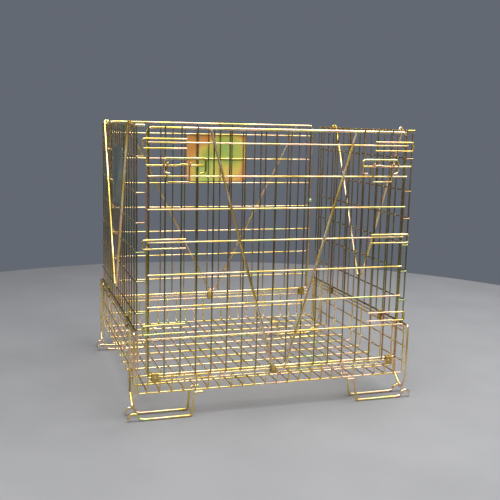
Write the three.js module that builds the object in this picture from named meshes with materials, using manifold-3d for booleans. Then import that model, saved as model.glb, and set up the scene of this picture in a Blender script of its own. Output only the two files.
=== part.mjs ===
// Folding wire mesh container: a welded tray on four wire feet, four hinged
// mesh walls that fold inward on rims of different height, two slide latches.
// Millimetres, Z up, front wall toward -Y, origin on the ground under the middle.

import * as THREE from 'three';
import { mergeGeometries, mergeVertices } from 'three/addons/utils/BufferGeometryUtils.js';
import Module from 'manifold-3d';

const wasm = await Module();
wasm.setup();

// ---- wire gauges and fits
const MESH_WIRE = 5;
const FRAME_WIRE = 7;
const BRACE_WIRE = 8;
const LOOP_WIRE = 5;
const BOLT_WIRE = 6;
const GAP = 0.3;
const SLIDE_FIT = 0.6;

// ---- front and back walls: mesh 50 x 100, inside a bent wire frame
const WALL_PITCH = 50;
const WALL_COLUMNS = 18;
const ROW_PITCH = 100;
const WALL_ROWS = 7;
const WALL_HALF_WIDTH = 429;
const ROW_HALF_LENGTH = 429;
const WALL_HALF_DEPTH = 412;
const FRONT_TOP = 905;
const FRONT_BOTTOM = 145;
const FRONT_FIRST_ROW = 862;
const BACK_TOP = 917;
const BACK_BOTTOM = 212;
const BACK_FIRST_ROW = 874;
const FRAME_BEND = 14;

// ---- side walls: uneven rows, each row bent inward at the front corner
const SIDE_PLANE = 460;
const SIDE_PITCH = 49.9;
const SIDE_COLUMNS = 17;
const SIDE_TOP = 911;
const SIDE_ROWS = [819, 711, 620, 530, 440, 340];
const RIGHT_PIVOT = 257;
const LEFT_PIVOT = 287;
const RETURN_END = 434.5;
const SIDE_REAR = 405;

// ---- tray
const FLOOR_LEVEL = 89;
const RIM_POST_COUNT = 11;
const RIM_POST_PITCH = 82.4;
const FLOOR_CROSS_COUNT = 6;
const FLOOR_CROSS_PITCH = 164.8;
const FLOOR_LONG_COUNT = 12;
const FLOOR_LONG_PITCH = 77.6;
const RIM_FOOT = 84;

// ---- feet and corner stirrups
const SKID_INNER = 286.5;
const SKID_OUTER = 442;
const ARCH_CENTRE = 471;
const ARCH_RADIUS = 17;
const SKID_ROW_OUTER = 420;
const SKID_ROW_INNER = 362;
const STIRRUP_PLANE = 469;
const STIRRUP_FRONT = 420;
const STIRRUP_REAR = 334;

// The latch handles stand further out than the back brace, so the walls sit a
// little back of the middle of the whole.
const CENTRE_SHIFT = 7.9;

const group = new THREE.Group();
group.name = 'wire_mesh_container';
group.position.set(0, CENTRE_SHIFT, 0);

const finishes = {
  mesh: { color: '#c9a03c', roughness: 0.34, metalness: 1 },
  frame: { color: '#cda541', roughness: 0.3, metalness: 1 },
  base: { color: '#bd9136', roughness: 0.38, metalness: 1 },
  latch: { color: '#d6b257', roughness: 0.28, metalness: 1 },
  sheet: { color: '#b79a45', roughness: 0.32, metalness: 1 },
};

function place(name, geometry, finish, position = [0, 0, 0]) {
  const material = new THREE.MeshStandardMaterial(finishes[finish]);
  material.name = `${finish}_finish`;
  const mesh = new THREE.Mesh(geometry, material);
  mesh.name = name;
  mesh.position.set(...position);
  group.add(mesh);
  return mesh;
}

// Rounds every corner of a path with short chords of a circular bend.
function bent(points, bend, steps, closed) {
  const path = [];
  const count = points.length;
  for (let i = 0; i < count; i += 1) {
    const here = new THREE.Vector3(...points[i]);
    if (!closed && (i === 0 || i === count - 1)) {
      path.push(here);
      continue;
    }
    const before = new THREE.Vector3(...points[(i + count - 1) % count]);
    const after = new THREE.Vector3(...points[(i + 1) % count]);
    const inward = before.clone().sub(here).normalize();
    const outward = after.clone().sub(here).normalize();
    const half = inward.angleTo(outward) / 2;
    const reach = Math.min(bend / Math.tan(half), before.distanceTo(here) * 0.48,
      after.distanceTo(here) * 0.48);
    const radius = reach * Math.tan(half);
    const bisector = inward.clone().add(outward).normalize();
    const centre = here.clone().addScaledVector(bisector, radius / Math.sin(half));
    const start = here.clone().addScaledVector(inward, reach).sub(centre);
    const finish = here.clone().addScaledVector(outward, reach).sub(centre);
    const axis = start.clone().cross(finish).normalize();
    const turn = start.angleTo(finish);
    for (let k = 0; k <= steps; k += 1) {
      const spoke = start.clone().applyAxisAngle(axis, (turn * k) / steps);
      path.push(centre.clone().add(spoke));
    }
  }
  return path;
}

// Sweeps a regular section along a path with one flat facing the up direction;
// the ends are capped or the loop closed.
function sweep(path, width, sides, up, closed) {
  const count = path.length;
  const legs = [];
  for (let i = 0; i < count - (closed ? 0 : 1); i += 1) {
    legs.push(path[(i + 1) % count].clone().sub(path[i]).normalize());
  }
  const reach = width / 2 / Math.cos(Math.PI / sides);
  const turn = sides % 4 === 0 ? 0.5 : 0;
  const first = legs[0];
  let across = new THREE.Vector3(...up).cross(first).normalize();
  const positions = [];
  const indices = [];
  let entering = closed ? legs[legs.length - 1] : first;
  if (closed) {
    across = new THREE.Vector3(...up).cross(entering).normalize();
  }
  for (let i = 0; i < count; i += 1) {
    const leaving = i < legs.length ? legs[i] : entering;
    const rise = entering.clone().cross(across).normalize();
    const cut = entering.clone().add(leaving).normalize();
    for (let s = 0; s < sides; s += 1) {
      const angle = ((s + turn) * 2 * Math.PI) / sides;
      const spoke = across.clone().multiplyScalar(reach * Math.cos(angle));
      spoke.addScaledVector(rise, reach * Math.sin(angle));
      spoke.addScaledVector(entering, -spoke.dot(cut) / entering.dot(cut));
      spoke.add(path[i]);
      positions.push(spoke.x, spoke.y, spoke.z);
    }
    const twist = new THREE.Quaternion().setFromUnitVectors(entering, leaving);
    across = across.clone().applyQuaternion(twist).normalize();
    entering = leaving;
  }
  const spans = closed ? count : count - 1;
  for (let i = 0; i < spans; i += 1) {
    const a = i * sides;
    const b = ((i + 1) % count) * sides;
    for (let s = 0; s < sides; s += 1) {
      const t = (s + 1) % sides;
      indices.push(a + s, a + t, b + t, a + s, b + t, b + s);
    }
  }
  if (!closed) {
    const last = (count - 1) * sides;
    for (let s = 1; s < sides - 1; s += 1) {
      indices.push(0, s + 1, s, last, last + s, last + s + 1);
    }
  }
  const geometry = new THREE.BufferGeometry();
  geometry.setAttribute('position', new THREE.Float32BufferAttribute(positions, 3));
  geometry.setIndex(indices);
  geometry.computeVertexNormals();
  return geometry;
}

function wire(points, width, { bend = 8, steps = 2, sides = 6, up = [0, 1, 0], closed = false } = {}) {
  return sweep(bent(points, bend, steps, closed), width, sides, up, closed);
}

function bar(x0, x1, y0, y1, z0, z1) {
  const geometry = new THREE.BoxGeometry(x1 - x0, y1 - y0, z1 - z0);
  geometry.translate((x0 + x1) / 2, (y0 + y1) / 2, (z0 + z1) / 2);
  return geometry;
}

function toSolid(geometry) {
  const plain = geometry.clone();
  plain.deleteAttribute('normal');
  plain.deleteAttribute('uv');
  const welded = mergeVertices(plain, 1e-4);
  return new wasm.Manifold(new wasm.Mesh({
    numProp: 3,
    vertProperties: new Float32Array(welded.attributes.position.array),
    triVerts: new Uint32Array(welded.index.array),
  }));
}

function stripped(geometry) {
  const plain = geometry.clone();
  plain.deleteAttribute('normal');
  plain.deleteAttribute('uv');
  return plain;
}

// Joins one layer of parallel wires onto the layer that crosses it.
function weld(layerOne, layerTwo) {
  const one = toSolid(mergeGeometries(layerOne.map(stripped)));
  const two = toSolid(mergeGeometries(layerTwo.map(stripped)));
  const joined = one.add(two).getMesh();
  const geometry = new THREE.BufferGeometry();
  geometry.setAttribute('position', new THREE.Float32BufferAttribute(joined.vertProperties, 3));
  geometry.setIndex(new THREE.BufferAttribute(new Uint32Array(joined.triVerts), 1));
  geometry.computeVertexNormals();
  return geometry;
}

function spread(count, pitch) {
  return Array.from({ length: count }, (_, i) => (i - (count - 1) / 2) * pitch);
}

const halfMesh = MESH_WIRE / 2;
const halfFrame = FRAME_WIRE / 2;

// A wall mesh in its own frame: the plane y = 0 is where uprights and rows meet,
// facing = -1 puts the rows on the -Y side, +1 on the +Y side.
function wallMesh(facing, bottom, top, firstRow) {
  const uprights = spread(WALL_COLUMNS, WALL_PITCH).map((x) => {
    const [near, far] = facing < 0 ? [0, MESH_WIRE] : [-MESH_WIRE, 0];
    return bar(x - halfMesh, x + halfMesh, near, far, bottom - halfFrame, top + halfFrame);
  });
  const rows = Array.from({ length: WALL_ROWS }, (_, i) => {
    const z = firstRow - i * ROW_PITCH;
    const [near, far] = facing < 0 ? [-MESH_WIRE, 0] : [0, MESH_WIRE];
    return bar(-ROW_HALF_LENGTH, ROW_HALF_LENGTH, near, far, z - halfMesh, z + halfMesh);
  });
  return weld(uprights, rows);
}

function wallFrame(bottom, top) {
  return wire([
    [-WALL_HALF_WIDTH, 0, bottom],
    [WALL_HALF_WIDTH, 0, bottom],
    [WALL_HALF_WIDTH, 0, top],
    [-WALL_HALF_WIDTH, 0, top],
  ], FRAME_WIRE, { bend: FRAME_BEND, closed: true });
}

const seam = halfFrame + GAP + MESH_WIRE;
const outerFace = seam + MESH_WIRE;

// ---- front wall
const frontY = -WALL_HALF_DEPTH;
const braceOffset = outerFace + GAP + BRACE_WIRE / 2;
place('front_wall_frame', wallFrame(FRONT_BOTTOM, FRONT_TOP), 'frame', [0, frontY, 0]);
place('front_wall_mesh', wallMesh(-1, FRONT_BOTTOM, FRONT_TOP, FRONT_FIRST_ROW), 'mesh',
  [0, frontY - seam, 0]);

const FRONT_BRACE_TOP = 240;
const FRONT_BRACE_FOOT = 22;
place('front_wall_brace', wire([
  [-FRONT_BRACE_TOP, 0, FRONT_TOP],
  [-FRONT_BRACE_FOOT, 0, FRONT_BOTTOM + 6],
  [FRONT_BRACE_FOOT, 0, FRONT_BOTTOM + 6],
  [FRONT_BRACE_TOP, 0, FRONT_TOP],
], BRACE_WIRE, { bend: 16, closed: true }), 'frame', [0, frontY - braceOffset, 0]);

// ---- corner loops: three on each end of the front wall, past the frame edge
const LOOP_LEVELS = { top: 859, middle: 557, low: 292 };
const LOOP_HALF_HEIGHT = 14;
const LOOP_TIP = 445.5;
const LOOP_STEP_OUTER = 424;
const LOOP_STEP_INNER = 400;
const LOOP_ROOT = 311.5;
const loopY = frontY - seam - GAP - LOOP_WIRE / 2;
for (const [end, sign] of [['left', -1], ['right', 1]]) {
  for (const [level, z] of Object.entries(LOOP_LEVELS)) {
    const proud = loopY - LOOP_WIRE;
    const geometry = wire([
      [sign * LOOP_ROOT, loopY, z + LOOP_HALF_HEIGHT],
      [sign * LOOP_STEP_INNER, loopY, z + LOOP_HALF_HEIGHT],
      [sign * LOOP_STEP_OUTER, proud, z + LOOP_HALF_HEIGHT],
      [sign * LOOP_TIP, proud, z + LOOP_HALF_HEIGHT],
      [sign * LOOP_TIP, proud, z - LOOP_HALF_HEIGHT],
      [sign * LOOP_STEP_OUTER, proud, z - LOOP_HALF_HEIGHT],
      [sign * LOOP_STEP_INNER, loopY, z - LOOP_HALF_HEIGHT],
      [sign * LOOP_ROOT, loopY, z - LOOP_HALF_HEIGHT],
    ], LOOP_WIRE, { bend: 9, steps: 1, sides: 4 });
    place(`corner_loop_${end}_${level}`, geometry, 'frame');
  }
}

// ---- slide latches: a rod bent back into a handle, and the guide that holds it
const ROD_LEVEL = 795;
const HANDLE_RISE = 22;
const ROD_TIP = 436.5;
const ROD_FAR = 258.5;
const HANDLE_NEAR = 384.5;
const GUIDE_OUTER = 372;
const GUIDE_INNER = 304;
const GUIDE_BOTTOM = 745;
const guideY = frontY - outerFace - GAP - LOOP_WIRE / 2;
const rodY = guideY - LOOP_WIRE / 2 - SLIDE_FIT - BOLT_WIRE / 2;
const eyeY = rodY - BOLT_WIRE / 2 - SLIDE_FIT - LOOP_WIRE / 2;
const handleY = eyeY - LOOP_WIRE / 2 - SLIDE_FIT - BOLT_WIRE / 2;
const eyeTop = ROD_LEVEL + BOLT_WIRE / 2 + SLIDE_FIT + LOOP_WIRE / 2;
for (const [end, sign] of [['left', -1], ['right', 1]]) {
  place(`latch_bolt_${end}`, wire([
    [sign * ROD_TIP, rodY, ROD_LEVEL],
    [sign * ROD_FAR, rodY, ROD_LEVEL],
    [sign * ROD_FAR, handleY, ROD_LEVEL],
    [sign * ROD_FAR, handleY, ROD_LEVEL + HANDLE_RISE],
    [sign * HANDLE_NEAR, handleY, ROD_LEVEL + HANDLE_RISE],
    [sign * HANDLE_NEAR, handleY, ROD_LEVEL - HANDLE_RISE],
    [sign * (HANDLE_NEAR - HANDLE_RISE), handleY, ROD_LEVEL - HANDLE_RISE],
  ], BOLT_WIRE, { bend: 6, steps: 2, sides: 6 }), 'latch');
  place(`latch_guide_${end}`, wire([
    [sign * GUIDE_OUTER, eyeY, ROD_LEVEL - 4],
    [sign * GUIDE_OUTER, eyeY, eyeTop],
    [sign * GUIDE_OUTER, guideY, eyeTop],
    [sign * GUIDE_OUTER, guideY, GUIDE_BOTTOM],
    [sign * GUIDE_INNER, guideY, GUIDE_BOTTOM],
    [sign * GUIDE_INNER, guideY, eyeTop],
    [sign * GUIDE_INNER, eyeY, eyeTop],
    [sign * GUIDE_INNER, eyeY, ROD_LEVEL - 4],
  ], LOOP_WIRE, { bend: 2.6, steps: 1, sides: 4 }), 'latch');
}

// ---- back wall, hinged higher so that it folds over the front one
const backY = WALL_HALF_DEPTH;
place('back_wall_frame', wallFrame(BACK_BOTTOM, BACK_TOP), 'frame', [0, backY, 0]);
place('back_wall_mesh', wallMesh(1, BACK_BOTTOM, BACK_TOP, BACK_FIRST_ROW), 'mesh',
  [0, backY + seam, 0]);

const BACK_BRACE_TOP = 365;
const BACK_BRACE_FOOT = 12;
place('back_wall_brace', wire([
  [-BACK_BRACE_TOP, 0, BACK_TOP],
  [-BACK_BRACE_FOOT, 0, BACK_BOTTOM + 6],
  [BACK_BRACE_FOOT, 0, BACK_BOTTOM + 6],
  [BACK_BRACE_TOP, 0, BACK_TOP],
], BRACE_WIRE, { bend: 16, closed: true }), 'frame', [0, backY + braceOffset, 0]);

// ---- side walls: uprights inside, rows outside, braces hooked over the top row
function sideMesh(sign, pivot) {
  const levels = [SIDE_TOP, ...SIDE_ROWS];
  const bottom = pivot - halfMesh;
  const uprights = spread(SIDE_COLUMNS, SIDE_PITCH).map((y) => {
    const [near, far] = sign < 0 ? [0, MESH_WIRE] : [-MESH_WIRE, 0];
    return bar(near, far, y - halfMesh, y + halfMesh, bottom, SIDE_TOP + halfFrame);
  });
  const firstColumn = ((SIDE_COLUMNS - 1) / 2) * SIDE_PITCH;
  const frontEnd = -(firstColumn + halfMesh + GAP + MESH_WIRE);
  const [inner, outer] = sign < 0 ? [-MESH_WIRE, 0] : [0, MESH_WIRE];
  const rows = [...levels, pivot].map((z) => (
    bar(inner, outer, frontEnd, SIDE_REAR, z - halfMesh, z + halfMesh)));
  const tip = sign * (RETURN_END - SIDE_PLANE);
  const returns = levels.map((z) => bar(Math.min(tip, 0), Math.max(tip, 0),
    frontEnd, frontEnd + MESH_WIRE, z - halfMesh, z + halfMesh));
  return weld([...uprights, ...returns], rows);
}

const SIDE_BRACE_SHIFT = -24;
const SIDE_BRACE_SPAN = 284;
const SIDE_BRACE_FOOT = 15;
const SIDE_BRACE_LOW = 350;
const HOOK_TOP = 921;
const HOOK_INSIDE = 455;
const HOOK_END = 902;
const braceCorner = BRACE_WIRE / 2 / Math.cos(Math.PI / 6);
const sideBracePlane = SIDE_PLANE + MESH_WIRE + GAP + braceCorner;
function sideBrace(sign) {
  const out = sign * sideBracePlane;
  const inside = sign * HOOK_INSIDE;
  const back = SIDE_BRACE_SHIFT + SIDE_BRACE_SPAN;
  const front = SIDE_BRACE_SHIFT - SIDE_BRACE_SPAN;
  return wire([
    [inside, front, HOOK_END],
    [inside, front, HOOK_TOP],
    [out, front, HOOK_TOP],
    [out, SIDE_BRACE_SHIFT - SIDE_BRACE_FOOT, SIDE_BRACE_LOW],
    [out, SIDE_BRACE_SHIFT + SIDE_BRACE_FOOT, SIDE_BRACE_LOW],
    [out, back, HOOK_TOP],
    [inside, back, HOOK_TOP],
    [inside, back, HOOK_END],
  ], BRACE_WIRE, { bend: 8, steps: 2, sides: 6, up: [0, 1, 0] });
}

place('left_wall_mesh', sideMesh(-1, LEFT_PIVOT), 'mesh', [-SIDE_PLANE, 0, 0]);
place('left_wall_brace', sideBrace(-1), 'frame');
place('right_wall_mesh', sideMesh(1, RIGHT_PIVOT), 'mesh', [SIDE_PLANE, 0, 0]);
place('right_wall_brace', sideBrace(1), 'frame');

// ---- tray floor: long wires on top, cross wires below
const longs = spread(FLOOR_LONG_COUNT, FLOOR_LONG_PITCH);
const crosses = spread(FLOOR_CROSS_COUNT, FLOOR_CROSS_PITCH);
const floorHalfX = SIDE_PLANE - MESH_WIRE - GAP;
const floorHalfY = WALL_HALF_DEPTH;
place('tray_floor', weld(
  longs.map((x) => bar(x - halfMesh, x + halfMesh, -floorHalfY, floorHalfY, 0, MESH_WIRE)),
  crosses.map((y) => bar(-floorHalfX, floorHalfX, y - halfMesh, y + halfMesh, -MESH_WIRE, 0)),
), 'base', [0, 0, FLOOR_LEVEL]);

// ---- tray rims: the front and back ones stand in the plane of their walls
function endRim(facing, levels) {
  const tops = Math.max(...levels) + halfMesh;
  const [rowNear, rowFar] = facing < 0 ? [0, MESH_WIRE] : [-MESH_WIRE, 0];
  const [near, far] = facing < 0 ? [-MESH_WIRE, 0] : [0, MESH_WIRE];
  const posts = longs.map((x) => bar(x - halfMesh, x + halfMesh, near, far, RIM_FOOT, tops));
  const rails = levels.map((z) => (
    bar(-ROW_HALF_LENGTH, ROW_HALF_LENGTH, rowNear, rowFar, z - halfMesh, z + halfMesh)));
  return weld(posts, rails);
}
const rimSeam = WALL_HALF_DEPTH + GAP + MESH_WIRE;
const FRONT_RIM_LEVELS = [137, 125];
const BACK_RIM_LEVELS = [201, 187, 140];
place('tray_front_rim', endRim(-1, FRONT_RIM_LEVELS), 'base', [0, -rimSeam, 0]);
place('tray_back_rim', endRim(1, BACK_RIM_LEVELS), 'base', [0, rimSeam, 0]);

// The side rims stand in the plane of the side walls, below their pivots.
function sideRim(sign, levels) {
  const tops = Math.max(...levels) + halfMesh;
  const [near, far] = sign < 0 ? [0, MESH_WIRE] : [-MESH_WIRE, 0];
  const [outNear, outFar] = sign < 0 ? [-MESH_WIRE, 0] : [0, MESH_WIRE];
  const stations = spread(RIM_POST_COUNT, RIM_POST_PITCH);
  const posts = stations.map((y) => (
    bar(near, far, y - halfMesh, y + halfMesh, RIM_FOOT, tops)));
  const rearEnd = stations[RIM_POST_COUNT - 1] + halfMesh;
  const rails = levels.map((z) => (
    bar(outNear, outFar, -rearEnd, rearEnd, z - halfMesh, z + halfMesh)));
  return weld(posts, rails);
}
const RIGHT_RIM_LEVELS = [244, 230, 180, 125];
const LEFT_RIM_LEVELS = [274, 257, 200, 140];
place('tray_left_rim', sideRim(-1, LEFT_RIM_LEVELS), 'base', [-SIDE_PLANE, 0, 0]);
place('tray_right_rim', sideRim(1, RIGHT_RIM_LEVELS), 'base', [SIDE_PLANE, 0, 0]);

// ---- skid wires: hooked under the floor, along the ground, over the stacking arch
const SKID_TAIL = 26;
const SKID_LEAN = 9;
const skidZ = halfFrame;
const skidTail = FLOOR_LEVEL - MESH_WIRE - GAP - halfFrame;
function skid(sign, y) {
  const points = [
    [sign * (SKID_INNER - SKID_LEAN - SKID_TAIL), y, skidTail],
    [sign * (SKID_INNER - SKID_LEAN), y, skidTail],
    [sign * SKID_INNER, y, skidZ],
    [sign * SKID_OUTER, y, skidZ],
  ];
  const arch = [];
  for (let k = 0; k <= 6; k += 1) {
    const angle = (Math.PI * k) / 6;
    arch.push(new THREE.Vector3(sign * (ARCH_CENTRE - ARCH_RADIUS * Math.cos(angle)), y,
      skidZ + 4 + ARCH_RADIUS * Math.sin(angle)));
  }
  const path = [...bent(points, 9, 1, false), ...arch];
  return sweep(path, FRAME_WIRE, 4, [0, 1, 0], false);
}
for (const [end, sign] of [['left', -1], ['right', 1]]) {
  for (const [depth, side] of [['front', -1], ['back', 1]]) {
    place(`skid_${depth}_${end}_outer`, skid(sign, side * SKID_ROW_OUTER), 'base');
    place(`skid_${depth}_${end}_inner`, skid(sign, side * SKID_ROW_INNER), 'base');
  }
}

// ---- corner stirrups: closed loops from the rim top down to the stacking arches
const STIRRUP_NECK = 70;
const STIRRUP_FOOT = 33;
const STIRRUP_TOE = 9;
const stirrupMiddle = (SKID_ROW_OUTER + SKID_ROW_INNER) / 2;
for (const [end, sign, top] of [['left', -1, LEFT_PIVOT - 5], ['right', 1, RIGHT_PIVOT - 5]]) {
  for (const [depth, side] of [['front', -1], ['back', 1]]) {
    const x = sign * STIRRUP_PLANE;
    place(`corner_stirrup_${depth}_${end}`, wire([
      [x, side * STIRRUP_FRONT, top],
      [x, side * STIRRUP_FRONT, STIRRUP_NECK],
      [x, side * (stirrupMiddle + STIRRUP_TOE), STIRRUP_FOOT],
      [x, side * (stirrupMiddle - STIRRUP_TOE), STIRRUP_FOOT],
      [x, side * STIRRUP_REAR, STIRRUP_NECK],
      [x, side * STIRRUP_REAR, top],
    ], FRAME_WIRE, { bend: 9, steps: 1, sides: 6, up: [1, 0, 0], closed: true }), 'base');
  }
}

// ---- hinge clips: sheet straps round a wall's pivot wire and the rim wires below it
const CLIP_SHEET = 1.5;
function strap(width, halfDepth, low, high) {
  const outline = new THREE.Shape();
  const outer = halfDepth + CLIP_SHEET;
  outline.moveTo(-outer, low - CLIP_SHEET);
  outline.lineTo(outer, low - CLIP_SHEET);
  outline.lineTo(outer, high + CLIP_SHEET);
  outline.lineTo(-outer, high + CLIP_SHEET);
  const hollow = new THREE.Path();
  hollow.moveTo(-halfDepth, low);
  hollow.lineTo(-halfDepth, high);
  hollow.lineTo(halfDepth, high);
  hollow.lineTo(halfDepth, low);
  outline.holes.push(hollow);
  const geometry = new THREE.ExtrudeGeometry(outline, { depth: width, bevelEnabled: false });
  geometry.translate(0, 0, -width / 2);
  geometry.rotateX(Math.PI / 2);
  geometry.rotateZ(Math.PI / 2);
  return geometry;
}

const END_CLIP_WIDTH = 22;
const MIDDLE_CLIP_WIDTH = 17;
const CLIP_END_X = 403;
const CLIP_MIDDLE_X = -13.5;
const CLIP_HALF_DEPTH = 6.2;
const clipSpots = [
  ['left', -CLIP_END_X, END_CLIP_WIDTH],
  ['middle', CLIP_MIDDLE_X, MIDDLE_CLIP_WIDTH],
  ['right', CLIP_END_X, END_CLIP_WIDTH],
];
const pivotRoom = halfFrame + 1;
for (const [spot, x, width] of clipSpots) {
  const lowFront = FRONT_RIM_LEVELS[1] - halfMesh - GAP;
  place(`front_clip_${spot}`, strap(width, CLIP_HALF_DEPTH, lowFront, FRONT_BOTTOM + pivotRoom),
    'sheet', [x, frontY + GAP, 0]);
  const lowBack = BACK_RIM_LEVELS[1] - halfMesh - GAP;
  place(`back_clip_${spot}`, strap(width, CLIP_HALF_DEPTH, lowBack, BACK_BOTTOM + pivotRoom),
    'sheet', [x, backY - GAP, 0]);
}

const SIDE_CLIP_Y = 223.4;
const sideClipPlane = SIDE_PLANE + halfMesh;
const sideClipRoom = 4;
for (const [end, sign, pivot, rail] of [
  ['left', -1, LEFT_PIVOT, LEFT_RIM_LEVELS[1]],
  ['right', 1, RIGHT_PIVOT, RIGHT_RIM_LEVELS[1]],
]) {
  for (const [depth, side] of [['front', -1], ['back', 1]]) {
    const geometry = strap(END_CLIP_WIDTH, sideClipRoom, rail - halfMesh - GAP,
      pivot + sideClipRoom);
    geometry.rotateZ(Math.PI / 2);
    place(`${end}_clip_${depth}`, geometry, 'sheet',
      [sign * sideClipPlane, side * SIDE_CLIP_Y, 0]);
  }
}

// ---- label plates: thin sheets on the outside of the back and left walls
const PLATE_WIDTH = 250;
const PLATE_HEIGHT = 196;
const PLATE_SHEET = 1.2;
const BACK_PLATE_X = 10;
const BACK_PLATE_Z = 778;
const LEFT_PLATE_WIDTH = 220;
const LEFT_PLATE_HEIGHT = 196;
const LEFT_PLATE_Y = -58;
const LEFT_PLATE_Z = 739;
const backPlateY = backY + outerFace + GAP + PLATE_SHEET / 2;
place('label_plate_back', new THREE.BoxGeometry(PLATE_WIDTH, PLATE_SHEET, PLATE_HEIGHT), 'sheet',
  [BACK_PLATE_X, backPlateY, BACK_PLATE_Z]);
const leftPlateX = -(SIDE_PLANE + MESH_WIRE + GAP + PLATE_SHEET / 2);
place('label_plate_left',
  new THREE.BoxGeometry(PLATE_SHEET, LEFT_PLATE_WIDTH, LEFT_PLATE_HEIGHT), 'sheet',
  [leftPlateX, LEFT_PLATE_Y, LEFT_PLATE_Z]);

export default group;
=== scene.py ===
from math import pi, radians
import bpy
from mathutils import Euler, Matrix, Vector


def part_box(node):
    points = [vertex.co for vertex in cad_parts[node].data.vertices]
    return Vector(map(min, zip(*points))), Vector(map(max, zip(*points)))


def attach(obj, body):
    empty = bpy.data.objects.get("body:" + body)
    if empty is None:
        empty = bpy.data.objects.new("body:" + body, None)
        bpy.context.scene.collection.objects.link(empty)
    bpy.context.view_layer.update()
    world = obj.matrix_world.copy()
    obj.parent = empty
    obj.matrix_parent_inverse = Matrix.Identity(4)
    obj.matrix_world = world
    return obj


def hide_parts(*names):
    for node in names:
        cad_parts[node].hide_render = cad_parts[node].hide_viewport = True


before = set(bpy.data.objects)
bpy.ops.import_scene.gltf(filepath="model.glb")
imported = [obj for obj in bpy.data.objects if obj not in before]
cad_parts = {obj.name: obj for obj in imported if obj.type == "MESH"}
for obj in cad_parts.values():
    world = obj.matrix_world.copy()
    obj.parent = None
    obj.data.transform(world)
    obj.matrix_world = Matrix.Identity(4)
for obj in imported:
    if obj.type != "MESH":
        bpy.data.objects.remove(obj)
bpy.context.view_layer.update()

scene = bpy.context.scene
scene.view_settings.view_transform = "Standard"

# ---- camera, lights and floor

view = {
    "place": (-0.838, -2.7025, 0.928),
    "yaw": 0.3099,  # turned toward +X
    "pitch": 0.1634,  # looking down
    "roll": 0.0241,
    "lens": 55.95,
}
cameraData = bpy.data.cameras.new("camera")
cameraData.lens = view["lens"]
cameraData.clip_start = 0.05
cameraData.clip_end = 60
camera = bpy.data.objects.new("camera", cameraData)
scene.collection.objects.link(camera)
aim = Euler((pi / 2 - view["pitch"], 0, -view["yaw"])).to_matrix()
aim = aim @ Matrix.Rotation(view["roll"], 3, "Z")
camera.matrix_world = Matrix.Translation(view["place"]) @ aim.to_4x4()
scene.camera = camera

lamps = {
    "overhead": {"place": (0.5, -0.7, 3.1), "aim": (0.3, -0.1, 0.2), "size": (5.0, 2.4), "power": 270},
    "leftBox": {"place": (-3.1, -0.9, 1.9), "aim": (0, 0, 0.5), "size": (0.4, 1.6), "power": 14},
    "rightBox": {"place": (2.4, 1.2, 2.7), "aim": (0, 0, 0.4), "size": (1.0, 0.6), "power": 9},
    "plateFill": {"place": (1.5, -4.2, 0.9), "aim": (0, 0.4, 0.7), "size": (0.9, 0.9), "power": 7},
}
for lampName, lamp in lamps.items():
    lampData = bpy.data.lights.new(lampName, "AREA")
    lampData.shape = "RECTANGLE"
    lampData.size, lampData.size_y = lamp["size"]
    lampData.energy = lamp["power"]
    lampObject = bpy.data.objects.new(lampName, lampData)
    scene.collection.objects.link(lampObject)
    lampObject.location = lamp["place"]
    toward = Vector(lamp["aim"]) - Vector(lamp["place"])
    lampObject.rotation_euler = toward.to_track_quat("-Z", "Y").to_euler()

surroundings = bpy.data.worlds.new("surroundings")
surroundings.use_nodes = True
surroundings.node_tree.nodes["Background"].inputs[0].default_value = (0.125, 0.140, 0.168, 1)
surroundings.node_tree.nodes["Background"].inputs[1].default_value = 1.0
scene.world = surroundings


# ---- materials


class Signal:
    def __init__(self, board, socket):
        self.board = board
        self.socket = socket

    def mathNode(self, operation, a, b):
        return self.board.add("ShaderNodeMath", {"operation": operation}, {0: a, 1: b})

    def __add__(self, other):
        return self.mathNode("ADD", self, other)

    def __radd__(self, other):
        return self.mathNode("ADD", other, self)

    def __sub__(self, other):
        return self.mathNode("SUBTRACT", self, other)

    def __rsub__(self, other):
        return self.mathNode("SUBTRACT", other, self)

    def __mul__(self, other):
        return self.mathNode("MULTIPLY", self, other)

    def __rmul__(self, other):
        return self.mathNode("MULTIPLY", other, self)


class Board:
    def __init__(self, name):
        self.material = bpy.data.materials.new(name)
        self.material.use_nodes = True
        self.tree = self.material.node_tree
        self.shader = self.tree.nodes["Principled BSDF"]

    def add(self, kind, settings, sockets, out=0):
        node = self.tree.nodes.new(kind)
        for key, value in settings.items():
            if key == "stops":
                ramp = node.color_ramp
                while len(ramp.elements) < len(value):
                    ramp.elements.new(0.5)
                for stop, (at, colour) in zip(ramp.elements, value):
                    stop.position = at
                    stop.color = (*colour, 1)
            else:
                setattr(node, key, value)
        for key, value in sockets.items():
            if isinstance(value, Signal):
                self.tree.links.new(value.socket, node.inputs[key])
            else:
                node.inputs[key].default_value = value
        return Signal(self, node.outputs[out])

    def feed(self, socketName, value):
        if isinstance(value, Signal):
            self.tree.links.new(value.socket, self.shader.inputs[socketName])
        else:
            self.shader.inputs[socketName].default_value = value


# Yellow zinc passivation: gold that drifts into pink and green with the film's thickness
passivation = {
    "olive": (0.50, 0.37, 0.07),
    "gold": (0.88, 0.62, 0.17),
    "straw": (0.98, 0.84, 0.46),
    "pink": (0.94, 0.62, 0.44),
    "green": (0.66, 0.74, 0.32),
    "umber": (0.36, 0.14, 0.03),
}


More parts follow.
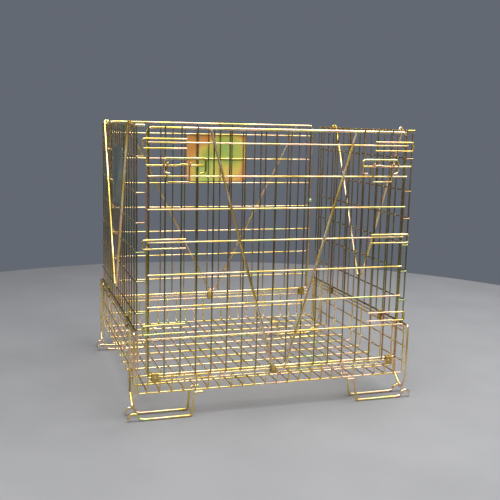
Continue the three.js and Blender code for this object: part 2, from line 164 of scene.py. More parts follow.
def chromate(name, drift=7, warmth=0.0, shade=1.0, roughness=0.29, grain=2600, stain=0.06):
    board = Board(name)
    spot = board.add("ShaderNodeTexCoord", {}, {}, out=3)
    film = board.add("ShaderNodeTexNoise", {}, {
        "Vector": spot, "Scale": drift, "Detail": 1.5, "Roughness": 0.45})
    patch = board.add("ShaderNodeTexNoise", {}, {"Vector": spot, "Scale": drift * 4.3, "Detail": 1.0})
    fine = board.add("ShaderNodeTexNoise", {}, {"Vector": spot, "Scale": grain, "Detail": 2.0})
    thickness = film * 1.15 + patch * 0.12 - (0.13 - warmth)
    tone = board.add("ShaderNodeValToRGB", {"stops": [
        (0.24, passivation["olive"]), (0.38, passivation["gold"]), (0.47, passivation["straw"]),
        (0.55, passivation["pink"]), (0.63, passivation["gold"]), (0.72, passivation["green"]),
        (0.86, passivation["straw"])]}, {"Fac": thickness})
    burn = board.add("ShaderNodeMapRange", {}, {"Value": patch, 1: 0.50, 2: 0.80, 3: 0.0, 4: stain})
    stained = board.add("ShaderNodeMix", {"data_type": "RGBA"},
                        {0: burn, 6: tone, 7: (*passivation["umber"], 1)}, out=2)
    shaded = board.add("ShaderNodeMix", {"data_type": "RGBA", "blend_type": "MULTIPLY"},
                       {0: 1.0, 6: stained, 7: (shade, shade, shade, 1)}, out=2)
    board.feed("Base Color", shaded)
    board.feed("Metallic", 1.0)
    board.feed("Roughness", roughness + (fine - 0.5) * 0.08 + (patch - 0.5) * 0.05)
    bump = board.add("ShaderNodeBump", {}, {"Strength": 0.05, "Distance": 0.0001, "Height": fine})
    board.feed("Normal", bump)
    return board.material


finishes = {
    "mesh_finish": chromate("meshChromate"),
    "frame_finish": chromate("frameChromate", drift=5, roughness=0.27),
    "base_finish": chromate("trayChromate", drift=6, warmth=-0.02),
    "latch_finish": chromate("latchChromate", drift=12, warmth=0.0, roughness=0.2, stain=0.1),
    "sheet_finish": chromate("sheetChromate", drift=5, roughness=0.22, stain=0.15),
}


# Flat sheet shows the film as broad bands: green in the middle, orange and brown toward the edges
def sheetBands(name, middle, reach, stops, roughness):
    board = Board(name)
    spot = board.add("ShaderNodeTexCoord", {}, {}, out=3)
    centred = board.add("ShaderNodeMapping", {}, {"Vector": spot, "Location": [-value for value in middle]})
    scaled = board.add("ShaderNodeVectorMath", {"operation": "MULTIPLY"},
                       {0: centred, 1: [1 / value for value in reach]})
    fromMiddle = board.add("ShaderNodeVectorMath", {"operation": "LENGTH"}, {0: scaled}, out=1)
    cloud = board.add("ShaderNodeTexNoise", {}, {"Vector": spot, "Scale": 7.0, "Detail": 2.0})
    fine = board.add("ShaderNodeTexNoise", {}, {"Vector": spot, "Scale": 900.0, "Detail": 2.0})
    film = fromMiddle * 0.50 + cloud * 0.90 - 0.30
    board.feed("Base Color", board.add("ShaderNodeValToRGB", {"stops": stops}, {"Fac": film}))
    board.feed("Metallic", 0.55)
    board.feed("Roughness", roughness + (fine - 0.5) * 0.1)
    bump = board.add("ShaderNodeBump", {}, {"Strength": 0.08, "Distance": 0.0001, "Height": fine})
    board.feed("Normal", bump)
    return board.material


weldFinish = chromate("weldChromate", drift=30, shade=0.8, roughness=0.34, stain=0.4)
# painted shade: the upright wires, and the side walls' rows and hinge wire, get a darker and browner copy of
# the chromate than the rows, standing in for the dark surroundings they reflect
paintedShadeWireFinish = chromate("paintedShadeWireChromate", drift=4, warmth=0.06, shade=0.5, roughness=0.17, stain=0.5)
clipFinish = sheetBands("clipBands", (0, 0, 0), (9, 9, 9), [
    (0.0, (0.34, 0.20, 0.03)), (0.14, (0.48, 0.32, 0.06)), (0.34, (0.60, 0.46, 0.14))], 0.34)

floorBoard = Board("paleFloor")
floorGrain = floorBoard.add("ShaderNodeTexNoise", {}, {
    "Vector": floorBoard.add("ShaderNodeTexCoord", {}, {}, out=3), "Scale": 3.0, "Detail": 4.0})
floorBoard.feed("Base Color", floorBoard.add("ShaderNodeValToRGB", {"stops": [
    (0.3, (0.20, 0.20, 0.205)), (0.7, (0.225, 0.225, 0.23))]}, {"Fac": floorGrain}))
floorBoard.feed("Roughness", 0.7)
print("materials ready:", len(bpy.data.materials))


# ---- modelling helpers


def clearSelection():
    if bpy.context.object and bpy.context.object.mode != "OBJECT":
        bpy.ops.object.mode_set(mode="OBJECT")
    bpy.ops.object.select_all(action="DESELECT")


def pick(*pieces):
    clearSelection()
    for piece in pieces:
        piece.select_set(True)
    bpy.context.view_layer.objects.active = pieces[0]
    return pieces[0]


clearSelection()
bpy.ops.mesh.primitive_circle_add(vertices=96, radius=2.3, fill_type="NGON", location=(0, 0, 0))
floor = bpy.context.object
floor.name = "paleFloor"
floor.data.materials.append(floorBoard.material)


def settleMesh(piece):
    # the place goes into the mesh, doubles merge and faces turn outward
    pick(piece)
    bpy.ops.object.transform_apply(location=True, rotation=True, scale=True)
    bpy.ops.object.mode_set(mode="EDIT")
    bpy.ops.mesh.select_all(action="SELECT")
    bpy.ops.mesh.remove_doubles(threshold=0.00002)
    bpy.ops.mesh.normals_make_consistent(inside=False)
    bpy.ops.object.mode_set(mode="OBJECT")
    return piece


def drawWire(points, gauge, bend=0.0, closed=False, arch=None, sides=12):
    # one point pulled out along the path, its corners rounded, then a round section
    points = [Vector(point) for point in points]
    clearSelection()
    bpy.ops.mesh.primitive_plane_add(size=0.01, location=(0, 0, 0))
    wire = bpy.context.object
    bpy.ops.object.mode_set(mode="EDIT")
    bpy.ops.mesh.merge(type="CENTER")
    bpy.ops.transform.translate(value=points[0])
    for here, there in zip(points, points[1:]):
        bpy.ops.mesh.extrude_region_move(TRANSFORM_OT_translate={"value": there - here})
    if arch:
        bpy.ops.mesh.spin(steps=arch["steps"], angle=arch["angle"], center=arch["centre"], axis=arch["axis"])
    bpy.ops.object.mode_set(mode="OBJECT")
    if closed:
        for vertex in wire.data.vertices:
            vertex.select = min((vertex.co - points[0]).length, (vertex.co - points[-1]).length) < 0.00001
        bpy.ops.object.mode_set(mode="EDIT")
        bpy.ops.mesh.select_mode(type="VERT")
        bpy.ops.mesh.edge_face_add()
        bpy.ops.object.mode_set(mode="OBJECT")
    if bend:
        corners = points if closed else points[1:-1]
        for vertex in wire.data.vertices:
            vertex.select = any((vertex.co - corner).length < 0.00001 for corner in corners)
        bpy.ops.object.mode_set(mode="EDIT")
        bpy.ops.mesh.select_mode(type="VERT")
        bpy.ops.mesh.bevel(offset=bend, segments=5, affect="VERTICES")
        bpy.ops.object.mode_set(mode="OBJECT")
    bpy.ops.object.convert(target="CURVE")
    wire.data.bevel_depth = gauge / 2
    wire.data.bevel_resolution = (sides - 4) // 2
    wire.data.use_fill_caps = True
    bpy.ops.object.convert(target="MESH")
    wire = bpy.context.object
    return settleMesh(wire)


def repeat(piece, count, step):
    pick(piece)
    bpy.ops.object.modifier_add(type="ARRAY")
    array = piece.modifiers[-1]
    array.count = count
    array.use_relative_offset = False
    array.use_constant_offset = True
    array.constant_offset_displace = step
    bpy.ops.object.modifier_apply(modifier=array.name)
    return piece


def copiesAt(piece, shifts):
    copies = []
    for shift in shifts:
        pick(piece)
        bpy.ops.object.duplicate_move(TRANSFORM_OT_translate={"value": Vector(shift)})
        copies.append(bpy.context.object)
    return [piece, *copies]


def joined(pieces):
    pick(*pieces)
    if len(pieces) > 1:
        bpy.ops.object.join()
    whole = bpy.context.object
    bpy.ops.object.transform_apply(location=True, rotation=True, scale=True)
    return whole


def weldSpot(place, across, gauge):
    # a flattened nugget where two wires meet
    clearSelection()
    size = [gauge * 0.52] * 3
    size[across] = gauge * 0.3
    bpy.ops.mesh.primitive_uv_sphere_add(segments=8, ring_count=5, radius=1, location=place)
    nugget = bpy.context.object
    bpy.ops.object.mode_set(mode="EDIT")
    bpy.ops.mesh.select_all(action="SELECT")
    bpy.ops.transform.resize(value=size)
    bpy.ops.object.mode_set(mode="OBJECT")
    nugget.data.materials.append(weldFinish)
    return settleMesh(nugget)


def weldGrid(start, across, gauge, countOne, stepOne, countTwo=1, stepTwo=(0, 0, 0)):
    spots = repeat(weldSpot(start, across, gauge), countOne, stepOne)
    return repeat(spots, countTwo, stepTwo) if countTwo > 1 else spots


def finishPiece(name, pieces, slotName, body, *nodes, spots=()):
    for piece in pieces:
        if not piece.data.materials:
            piece.data.materials.append(finishes[slotName])
    whole = joined([*pieces, *spots])
    whole.name = name
    whole.data.name = name
    pick(whole)
    bpy.ops.object.shade_smooth_by_angle(angle=radians(40))
    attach(whole, body)
    if nodes:
        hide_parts(*nodes)
    return whole


def boxMiddle(node):
    low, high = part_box(node)
    return (low + high) / 2


# ---- gauges of wire, and the planes that the walls stand in

gauge = {"mesh": 0.005, "frame": 0.007, "brace": 0.008, "loop": 0.005, "rod": 0.006, "skid": 0.008,
         "stirrup": 0.007}
gap = {"welded": 0.0003, "sliding": 0.0006}
seamOffset = gauge["frame"] / 2 + gap["welded"] + gauge["mesh"]  # from a wall frame to where its wires cross
rowOffset = seamOffset + gauge["mesh"] / 2
uprightOffset = seamOffset - gauge["mesh"] / 2


# ---- front and back walls

endWalls = {
    "front": {"side": -1, "firstRow": 0.862, "braceTop": 0.240, "braceFoot": 0.022},
    "back": {"side": 1, "firstRow": 0.874, "braceTop": 0.365, "braceFoot": 0.012},
}
endWallMesh = {"columns": 18, "pitch": 0.050, "rows": 7, "rowPitch": 0.100, "rowHalf": 0.429,
               "frameBend": 0.016}
planes = {}
for wallName, wall in endWalls.items():
    low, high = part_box(wallName + "_wall_frame")
    plane = (low.y + high.y) / 2
    planes[wallName] = plane
    halfWidth = high.x - gauge["frame"] / 2
    bottom = low.z + gauge["frame"] / 2
    top = high.z - gauge["frame"] / 2
    side = wall["side"]
    bodyName = wallName + "_wall"
    border = drawWire([(-halfWidth, plane, bottom), (halfWidth, plane, bottom), (halfWidth, plane, top),
                       (-halfWidth, plane, top)], gauge["frame"], endWallMesh["frameBend"], closed=True)
    finishPiece(wallName + "WallFrame", [border], "frame_finish", bodyName, wallName + "_wall_frame")
    firstX = -(endWallMesh["columns"] - 1) / 2 * endWallMesh["pitch"]
    uprightY = plane + side * uprightOffset
    rowY = plane + side * rowOffset
    upright = drawWire([(firstX, uprightY, bottom - 0.0035), (firstX, uprightY, top + 0.0035)], gauge["mesh"])
    # painted shade: the uprights take the darker, browner finish
    upright.data.materials.append(paintedShadeWireFinish)
    uprights = repeat(upright, endWallMesh["columns"], (endWallMesh["pitch"], 0, 0))
    lastRow = wall["firstRow"] - (endWallMesh["rows"] - 1) * endWallMesh["rowPitch"]
    rowHalf = endWallMesh["rowHalf"]
    row = drawWire([(-rowHalf, rowY, lastRow), (rowHalf, rowY, lastRow)], gauge["mesh"])
    rows = repeat(row, endWallMesh["rows"], (0, 0, endWallMesh["rowPitch"]))
    crossings = weldGrid((firstX, plane + side * seamOffset, lastRow), 1, gauge["mesh"],
                         endWallMesh["columns"], (endWallMesh["pitch"], 0, 0),
                         endWallMesh["rows"], (0, 0, endWallMesh["rowPitch"]))
    ends = weldGrid((firstX, plane + side * gauge["frame"] / 2, bottom), 1, gauge["mesh"],
                    endWallMesh["columns"], (endWallMesh["pitch"], 0, 0), 2, (0, 0, top - bottom))
    finishPiece(wallName + "WallMesh", [uprights, rows], "mesh_finish", bodyName, wallName + "_wall_mesh",
                spots=[crossings, ends])
    braceY = boxMiddle(wallName + "_wall_brace").y
    brace = drawWire([(-wall["braceTop"], braceY, top), (-wall["braceFoot"], braceY, bottom + 0.006),
                      (wall["braceFoot"], braceY, bottom + 0.006), (wall["braceTop"], braceY, top)],
                     gauge["brace"], 0.012, closed=True)
    finishPiece(wallName + "WallBrace", [brace], "frame_finish", bodyName, wallName + "_wall_brace")
print("end walls done")


# ---- corner loops on the front wall

cornerLoop = {"levels": {"top": 0.859, "middle": 0.557, "low": 0.292}, "half": 0.014, "tip": 0.4455,
              "stepOuter": 0.424, "stepInner": 0.400, "root": 0.3115, "bend": 0.006,
              "firstWeld": 0.325}
loopY = planes["front"] - seamOffset - gap["welded"] - gauge["loop"] / 2
proudY = loopY - gauge["loop"]
for hand, sign in (("left", -1), ("right", 1)):
    for levelName, level in cornerLoop["levels"].items():
        upper = [(cornerLoop["root"], loopY), (cornerLoop["stepInner"], loopY),
                 (cornerLoop["stepOuter"], proudY), (cornerLoop["tip"], proudY)]
        path = [(sign * x, y, level + cornerLoop["half"]) for x, y in upper]
        path += [(sign * x, y, level - cornerLoop["half"]) for x, y in reversed(upper)]
        loop = drawWire(path, gauge["loop"], cornerLoop["bend"])
        firstWeld = (sign * cornerLoop["firstWeld"], loopY + gauge["loop"] / 2, level - cornerLoop["half"])
        spots = weldGrid(firstWeld, 1, gauge["loop"], 2, (sign * endWallMesh["pitch"], 0, 0),
                         2, (0, 0, 2 * cornerLoop["half"]))
        finishPiece("cornerLoop" + hand.capitalize() + levelName.capitalize(), [loop], "frame_finish",
                    "front_wall", f"corner_loop_{hand}_{levelName}", spots=[spots])
print("corner loops done")


# ---- slide latches

latch = {"rodLevel": 0.795, "rise": 0.022, "tip": 0.4365, "far": 0.2585, "near": 0.3845, "curl": 0.017,
         "humpAt": 0.323, "hump": 0.003, "guideOuter": 0.372, "guideInner": 0.304, "guideBottom": 0.745}
guideY = planes["front"] - seamOffset - gauge["mesh"] - gap["welded"] - gauge["loop"] / 2
rodY = guideY - gauge["loop"] / 2 - gap["sliding"] - gauge["rod"] / 2
eyeY = rodY - gauge["rod"] / 2 - gap["sliding"] - gauge["loop"] / 2
handleY = eyeY - gauge["loop"] / 2 - gap["sliding"] - gauge["rod"] / 2
# high enough for the rod's hump to pass under
eyeTop = latch["rodLevel"] + latch["hump"] + gauge["rod"] / 2 + gap["sliding"] + gauge["loop"] / 2
for hand, sign in (("left", -1), ("right", 1)):
    level = latch["rodLevel"]
    humpX = latch["humpAt"]
    rod = drawWire([(sign * latch["tip"], rodY, level), (sign * (humpX + 0.018), rodY, level),
                    (sign * (humpX + 0.006), rodY, level + latch["hump"]),
                    (sign * (humpX - 0.006), rodY, level + latch["hump"]),
                    (sign * (humpX - 0.018), rodY, level), (sign * latch["far"], rodY, level),
                    (sign * latch["far"], handleY, level)], gauge["rod"], 0.004)
    handle = drawWire([(sign * (latch["far"] + latch["curl"]), handleY, level - latch["rise"] - 0.001),
                       (sign * latch["far"], handleY, level - latch["rise"] + 0.002),
                       (sign * latch["far"], handleY, level + latch["rise"]),
                       (sign * latch["near"], handleY, level + latch["rise"]),
                       (sign * latch["near"], handleY, level - latch["rise"] + 0.002),
                       (sign * (latch["near"] - latch["curl"]), handleY, level - latch["rise"] - 0.001)],
                      gauge["rod"], 0.008)
    finishPiece("latchBolt" + hand.capitalize(), [rod, handle], "latch_finish", hand + "_bolt",
                "latch_bolt_" + hand)
    outer = sign * latch["guideOuter"]
    inner = sign * latch["guideInner"]
    guide = drawWire([(outer, eyeY, level - 0.004), (outer, eyeY, eyeTop), (outer, guideY, eyeTop),
                      (outer, guideY, latch["guideBottom"]), (inner, guideY, latch["guideBottom"]),
                      (inner, guideY, eyeTop), (inner, eyeY, eyeTop), (inner, eyeY, level - 0.004)],
                     gauge["loop"], 0.0035)
    finishPiece("latchGuide" + hand.capitalize(), [guide], "latch_finish", "front_wall",
                "latch_guide_" + hand)
print("latches done")


# ---- side walls: each row is one wire, bent inward at its front end

sideWall = {"columns": 17, "pitch": 0.0499, "levels": (0.911, 0.819, 0.711, 0.620, 0.530, 0.440, 0.340),
            "returnEnd": 0.4345, "rowBend": 0.006}
sideBrace = {"shift": -0.024, "span": 0.284, "foot": 0.015, "low": 0.350, "top": 0.921, "inside": 0.4550,
             "hookEnd": 0.902, "plane": 0.46992, "bend": 0.008}
middleY = (planes["front"] + planes["back"]) / 2
for hand, sign in (("left", -1), ("right", 1)):
    low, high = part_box(hand + "_wall_mesh")
    rowX = (high.x if sign > 0 else low.x) - sign * gauge["mesh"] / 2
    uprightX = rowX - sign * gauge["mesh"]
    returnY = low.y + gauge["mesh"] / 2
    rear = high.y
    pivot = low.z + gauge["mesh"] / 2
    firstY = middleY - (sideWall["columns"] - 1) / 2 * sideWall["pitch"]
    upright = drawWire([(uprightX, firstY, low.z), (uprightX, firstY, high.z)], gauge["mesh"])
    # painted shade: the uprights take the darker, browner finish
    upright.data.materials.append(paintedShadeWireFinish)
    uprights = repeat(upright, sideWall["columns"], (0, sideWall["pitch"], 0))
    topLevel, nextLevel = sideWall["levels"][:2]
    row = drawWire([(sign * sideWall["returnEnd"], returnY, nextLevel), (rowX, returnY, nextLevel),
                    (rowX, rear, nextLevel)], gauge["mesh"], sideWall["rowBend"])
    # painted shade: the side rows take the same darker, browner finish
    row.data.materials.append(paintedShadeWireFinish)
    rows = joined(copiesAt(row, [(0, 0, level - nextLevel) for level in sideWall["levels"][2:]]))
    topRow = drawWire([(sign * sideWall["returnEnd"], returnY, topLevel), (rowX, returnY, topLevel),
                       (rowX, rear, topLevel)], gauge["frame"], sideWall["rowBend"])
    hingeWire = drawWire([(rowX, returnY - gauge["mesh"] / 2, pivot), (rowX, rear, pivot)], gauge["frame"])
    # painted shade: the hinge wire takes the darker, browner finish too
    hingeWire.data.materials.append(paintedShadeWireFinish)
    rowSpots = weldGrid((rowX - sign * gauge["mesh"] / 2, firstY, topLevel), 0, gauge["mesh"],
                        sideWall["columns"], (0, sideWall["pitch"], 0))
    lowerLevels = (*sideWall["levels"][1:], pivot)
    crossings = joined(copiesAt(rowSpots, [(0, 0, level - topLevel) for level in lowerLevels]))
    finishPiece(hand + "WallMesh", [uprights, rows, topRow, hingeWire], "mesh_finish", hand + "_wall",
                hand + "_wall_mesh", spots=[crossings])
    braceX = sign * sideBrace["plane"]
    braceMiddle = middleY + sideBrace["shift"]
    frontHook = braceMiddle - sideBrace["span"]
    rearHook = braceMiddle + sideBrace["span"]
    brace = drawWire([(sign * sideBrace["inside"], frontHook, sideBrace["hookEnd"]),
                      (sign * sideBrace["inside"], frontHook, sideBrace["top"]),
                      (braceX, frontHook, sideBrace["top"]),
                      (braceX, braceMiddle - sideBrace["foot"], sideBrace["low"]),
                      (braceX, braceMiddle + sideBrace["foot"], sideBrace["low"]),
                      (braceX, rearHook, sideBrace["top"]),
                      (sign * sideBrace["inside"], rearHook, sideBrace["top"]),
                      (sign * sideBrace["inside"], rearHook, sideBrace["hookEnd"])],
                     gauge["brace"], sideBrace["bend"])
    finishPiece(hand + "WallBrace", [brace], "frame_finish", hand + "_wall", hand + "_wall_brace")
print("side walls done")


# ---- tray: long and cross wires run across the floor and turn up into the rims

tray = {"longCount": 23, "longPitch": 0.0388, "crossCount": 11, "crossPitch": 0.0824, "bend": 0.008,
        "railHalf": 0.429, "frontRails": (0.137, 0.125), "backRails": (0.201, 0.187, 0.140),
        "leftRails": (0.274, 0.257, 0.200, 0.140), "rightRails": (0.244, 0.230, 0.180, 0.125),
        "cornerReturn": 0.257, "cornerDrop": 0.030, "cornerBend": 0.005}
floorLow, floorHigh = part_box("tray_floor")
longZ = floorHigh.z - gauge["mesh"] / 2
crossZ = floorLow.z + gauge["mesh"] / 2
frontLow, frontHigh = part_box("tray_front_rim")
backLow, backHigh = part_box("tray_back_rim")
leftLow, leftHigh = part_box("tray_left_rim")
rightLow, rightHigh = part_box("tray_right_rim")
half = gauge["mesh"] / 2
firstLong = -(tray["longCount"] - 1) / 2 * tray["longPitch"]
firstCross = middleY - (tray["crossCount"] - 1) / 2 * tray["crossPitch"]
longWire = drawWire([(firstLong, frontLow.y + half, frontHigh.z), (firstLong, frontLow.y + half, longZ),
                     (firstLong, backHigh.y - half, longZ), (firstLong, backHigh.y - half, backHigh.z)],
                    gauge["mesh"], tray["bend"])
longWires = repeat(longWire, tray["longCount"], (tray["longPitch"], 0, 0))
crossWire = drawWire([(leftHigh.x - half, firstCross, leftHigh.z), (leftHigh.x - half, firstCross, crossZ),
                      (rightLow.x + half, firstCross, crossZ), (rightLow.x + half, firstCross, rightHigh.z)],
                     gauge["mesh"], tray["bend"])
crossWires = repeat(crossWire, tray["crossCount"], (0, tray["crossPitch"], 0))
floorSpots = weldGrid((firstLong, firstCross, longZ - half), 2, gauge["mesh"],
                      tray["longCount"], (tray["longPitch"], 0, 0),
                      tray["crossCount"], (0, tray["crossPitch"], 0))
finishPiece("trayFloor", [longWires, crossWires], "base_finish", "base", "tray_floor", spots=[floorSpots])


def rail(start, end, spotStart, across, count, step):
    wire = drawWire([start, end], gauge["mesh"])
    return wire, weldGrid(spotStart, across, gauge["mesh"], count, step)


for rimName, railY, seamY in (("front", frontHigh.y - half, frontHigh.y - gauge["mesh"]),
                              ("back", backLow.y + half, backLow.y + gauge["mesh"])):
    rails, spots = [], []
    for level in tray[rimName + "Rails"]:
        wire, spot = rail((-tray["railHalf"], railY, level), (tray["railHalf"], railY, level),
                          (firstLong, seamY, level), 1, tray["longCount"], (tray["longPitch"], 0, 0))
        rails.append(wire)
        spots.append(spot)
    finishPiece(rimName + "Rim", rails, "base_finish", "base", f"tray_{rimName}_rim", spots=spots)

for rimName, sign, low, high in (("left", -1, leftLow, leftHigh), ("right", 1, rightLow, rightHigh)):
    railX = (high.x if sign > 0 else low.x) - sign * half
    seamX = railX - sign * half
    rails, spots = [], []
    for level in tray[rimName + "Rails"]:
        wire, spot = rail((railX, low.y, level), (railX, high.y, level),
                          (seamX, firstCross, level), 0, tray["crossCount"], (0, tray["crossPitch"], 0))
        rails.append(wire)
        spots.append(spot)
    # a short bent end that closes the corner toward the front wall
    cornerY = low.y + gauge["mesh"] + half
    cornerX = seamX - sign * half
    cornerZ = tray["cornerReturn"]
    rails.append(drawWire([(sign * sideWall["returnEnd"], cornerY, cornerZ), (cornerX, cornerY, cornerZ),
                           (cornerX, cornerY, cornerZ - tray["cornerDrop"])],
                          gauge["mesh"], tray["cornerBend"]))
    finishPiece(rimName + "Rim", rails, "base_finish", "base", f"tray_{rimName}_rim", spots=spots)
print("tray done")


# ---- skids: each is one wire, hooked under the floor and ending in a stacking arch

skid = {"tailEnd": 0.2515, "tailBend": 0.2775, "heel": 0.2865, "toe": 0.442, "archCentre": 0.471,
        "archRadius": 0.017, "rows": {"outer": 0.420, "inner": 0.362}, "bend": 0.008}
for hand, sign in (("left", -1), ("right", 1)):
    for depth, side in (("front", -1), ("back", 1)):
        for rowName, row in skid["rows"].items():
            nodeName = f"skid_{depth}_{hand}_{rowName}"
            low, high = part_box(nodeName)
            y = (low.y + high.y) / 2
            ground = gauge["skid"] / 2
            tailZ = high.z - gauge["stirrup"] / 2
            path = [(sign * skid["tailEnd"], y, tailZ), (sign * skid["tailBend"], y, tailZ),
                    (sign * skid["heel"], y, ground), (sign * skid["toe"], y, ground),
                    (sign * (skid["archCentre"] - skid["archRadius"]), y, ground + 0.004)]
            wire = drawWire(path, gauge["skid"], skid["bend"], arch={
                "steps": 12, "angle": -sign * pi, "axis": (0, 1, 0),
                "centre": (sign * skid["archCentre"], y, ground + 0.004)})
            finishPiece(f"skid{depth.capitalize()}{hand.capitalize()}{rowName.capitalize()}", [wire],
                        "base_finish", "base", nodeName)

stirrup = {"front": 0.420, "rear": 0.334, "neck": 0.070, "foot": 0.033, "toe": 0.009, "bend": 0.010}
footMiddle = (skid["rows"]["outer"] + skid["rows"]["inner"]) / 2
for hand, sign in (("left", -1), ("right", 1)):
    for depth, side in (("front", -1), ("back", 1)):
        nodeName = f"corner_stirrup_{depth}_{hand}"
        low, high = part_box(nodeName)
        x = (low.x + high.x) / 2
        top = high.z - gauge["stirrup"] / 2
        outline = [(stirrup["front"], top), (stirrup["front"], stirrup["neck"]),
                   (footMiddle + stirrup["toe"], stirrup["foot"]),
                   (footMiddle - stirrup["toe"], stirrup["foot"]),
                   (stirrup["rear"], stirrup["neck"]), (stirrup["rear"], top)]
        loop = drawWire([(x, middleY + side * y, z) for y, z in outline], gauge["stirrup"],
                        stirrup["bend"], closed=True)
        finishPiece(f"cornerStirrup{depth.capitalize()}{hand.capitalize()}", [loop], "base_finish",
                    "base", nodeName)
print("feet done")


# ---- hinge clips: a bent strap with a pressed dimple on its outer face

clip = {"sheet": 0.0015, "corner": 0.003, "dimple": 0.0042, "dimpleRise": 0.0012}


def hingeClip(nodeName, along, outward):
    low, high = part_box(nodeName)
    size = high - low
    middle = (low + high) / 2
    clearSelection()
    bpy.ops.mesh.primitive_cube_add(size=1, location=middle)
    strap = bpy.context.object
    bpy.ops.object.mode_set(mode="EDIT")
    bpy.ops.transform.resize(value=size)
    bpy.ops.mesh.select_mode(type="FACE")
    bpy.ops.mesh.select_all(action="DESELECT")
    bpy.ops.object.mode_set(mode="OBJECT")
    for polygon in strap.data.polygons:
        polygon.select = abs(polygon.normal[along]) > 0.9
    bpy.ops.object.mode_set(mode="EDIT")
    bpy.ops.mesh.delete(type="ONLY_FACE")
    bpy.ops.mesh.select_mode(type="EDGE")
    bpy.ops.mesh.select_all(action="DESELECT")
    bpy.ops.object.mode_set(mode="OBJECT")
    for edge in strap.data.edges:
        a, b = (strap.data.vertices[i].co for i in edge.vertices)
        edge.select = abs((a - b)[along]) > size[along] * 0.9
    bpy.ops.object.mode_set(mode="EDIT")
    bpy.ops.mesh.bevel(offset=clip["corner"], segments=4, affect="EDGES")
    bpy.ops.object.mode_set(mode="OBJECT")
    bpy.ops.object.modifier_add(type="SOLIDIFY")
    strap.modifiers[-1].thickness = clip["sheet"]
    strap.modifiers[-1].offset = -1
    bpy.ops.object.modifier_apply(modifier=strap.modifiers[-1].name)
    settleMesh(strap)
    across = 1 - along
    face = Vector(middle)
    face[across] = (high if outward > 0 else low)[across]
    clearSelection()
    bpy.ops.mesh.primitive_uv_sphere_add(segments=16, ring_count=10, radius=1, location=face)
    dimple = bpy.context.object
    bpy.ops.object.mode_set(mode="EDIT")
    swell = [clip["dimple"]] * 3
    swell[across] = clip["dimpleRise"]
    bpy.ops.transform.resize(value=swell)
    bpy.ops.object.mode_set(mode="OBJECT")
    settleMesh(dimple)
    strap.data.materials.append(clipFinish)
    dimple.data.materials.append(finishes["latch_finish"])
    name = "".join(word.capitalize() for word in nodeName.split("_"))
    finishPiece(name[0].lower() + name[1:], [strap, dimple], "sheet_finish", "base", nodeName)


for spotName in ("left", "middle", "right"):
    hingeClip("front_clip_" + spotName, 0, -1)
    hingeClip("back_clip_" + spotName, 0, 1)
for depth in ("front", "back"):
    hingeClip("left_clip_" + depth, 1, -1)
    hingeClip("right_clip_" + depth, 1, 1)
print("hinge clips done")


# ---- label plates: thin sheet with rounded corners and a stamped border

plate = {"corner": 0.014, "border": 0.007, "stamp": 0.0003}


def labelPlate(nodeName, across, body, stops, roughness):
    low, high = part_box(nodeName)
    size = high - low
    clearSelection()
    bpy.ops.mesh.primitive_cube_add(size=1, location=(low + high) / 2)
    sheet = bpy.context.object
    bpy.ops.object.mode_set(mode="EDIT")
    bpy.ops.transform.resize(value=size)
    bpy.ops.mesh.select_mode(type="EDGE")
    bpy.ops.mesh.select_all(action="DESELECT")
    bpy.ops.object.mode_set(mode="OBJECT")
    for edge in sheet.data.edges:
        a, b = (sheet.data.vertices[i].co for i in edge.vertices)
        edge.select = abs((a - b)[across]) > size[across] * 0.9
    bpy.ops.object.mode_set(mode="EDIT")
    bpy.ops.mesh.bevel(offset=plate["corner"], segments=4, affect="EDGES")
    bpy.ops.mesh.select_mode(type="FACE")
    bpy.ops.mesh.select_all(action="DESELECT")
    bpy.ops.object.mode_set(mode="OBJECT")
    for polygon in sheet.data.polygons:
        polygon.select = abs(polygon.normal[across]) > 0.9
    bpy.ops.object.mode_set(mode="EDIT")
    bpy.ops.mesh.inset(thickness=plate["border"], use_even_offset=True)
    bpy.ops.mesh.inset(thickness=0.0015, depth=-plate["stamp"], use_even_offset=True)
    bpy.ops.object.mode_set(mode="OBJECT")
    settleMesh(sheet)
    side = nodeName.split("_")[-1]
    reach = [value / 2 + 0.05 for value in size]
    sheet.data.materials.append(sheetBands(side + "PlateBands", (low + high) / 2, reach, stops, roughness))
    finishPiece("labelPlate" + side.capitalize(), [sheet], "sheet_finish", body, nodeName)


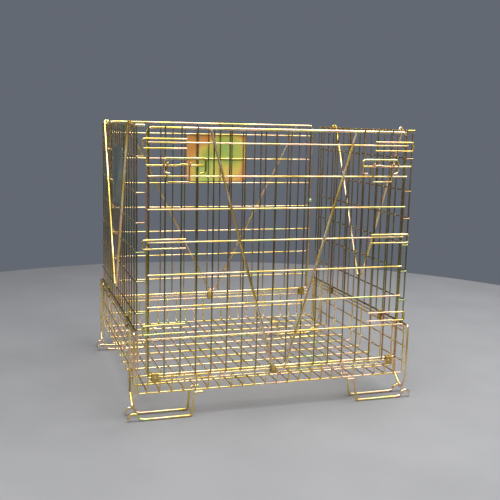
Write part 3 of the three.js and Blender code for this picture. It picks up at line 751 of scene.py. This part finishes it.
labelPlate("label_plate_back", 1, "back_wall", [
    (0.14, (0.22, 0.50, 0.22)), (0.30, (0.48, 0.60, 0.12)), (0.44, (0.80, 0.60, 0.12)),
    (0.56, (0.84, 0.36, 0.10)), (0.70, (0.60, 0.30, 0.06)), (0.84, (0.26, 0.08, 0.02))], 0.42)
# painted shade and reflection: the left plate's bands are dark and cold, standing in for the dim room it
# reflects
labelPlate("label_plate_left", 0, "left_wall", [
    (0.14, (0.11, 0.19, 0.20)), (0.45, (0.15, 0.20, 0.16)), (0.70, (0.28, 0.24, 0.10)),
    (0.88, (0.24, 0.12, 0.04))], 0.3)
print("label plates done")


# ---- small clamp round the back wall's right border wire

clamp = {"level": 0.598, "size": (0.0145, 0.012, 0.016), "corner": 0.002, "dimple": (0.004, 0.0015, 0.004)}
borderLow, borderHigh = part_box("back_wall_frame")
clampPlace = Vector((borderHigh.x - gauge["frame"] / 2, planes["back"], clamp["level"]))
clearSelection()
bpy.ops.mesh.primitive_cube_add(size=1, location=clampPlace)
clampBlock = bpy.context.object
bpy.ops.object.mode_set(mode="EDIT")
bpy.ops.transform.resize(value=clamp["size"])
bpy.ops.mesh.bevel(offset=clamp["corner"], segments=3, affect="EDGES")
bpy.ops.object.mode_set(mode="OBJECT")
settleMesh(clampBlock)
clearSelection()
bpy.ops.mesh.primitive_uv_sphere_add(segments=16, ring_count=10, radius=1,
                                     location=clampPlace - Vector((0, clamp["size"][1] / 2, 0)))
clampDimple = bpy.context.object
bpy.ops.object.mode_set(mode="EDIT")
bpy.ops.transform.resize(value=clamp["dimple"])
bpy.ops.object.mode_set(mode="OBJECT")
settleMesh(clampDimple)
clampBlock.data.materials.append(sheetBands("clampBands", (0, 0, 0), (9, 9, 9), [
    (0.0, (0.20, 0.36, 0.18)), (0.34, (0.34, 0.52, 0.28))], 0.35))
clampDimple.data.materials.append(finishes["latch_finish"])
finishPiece("borderClamp", [clampBlock, clampDimple], "sheet_finish", "back_wall")
print("border clamp done")

clearSelection()
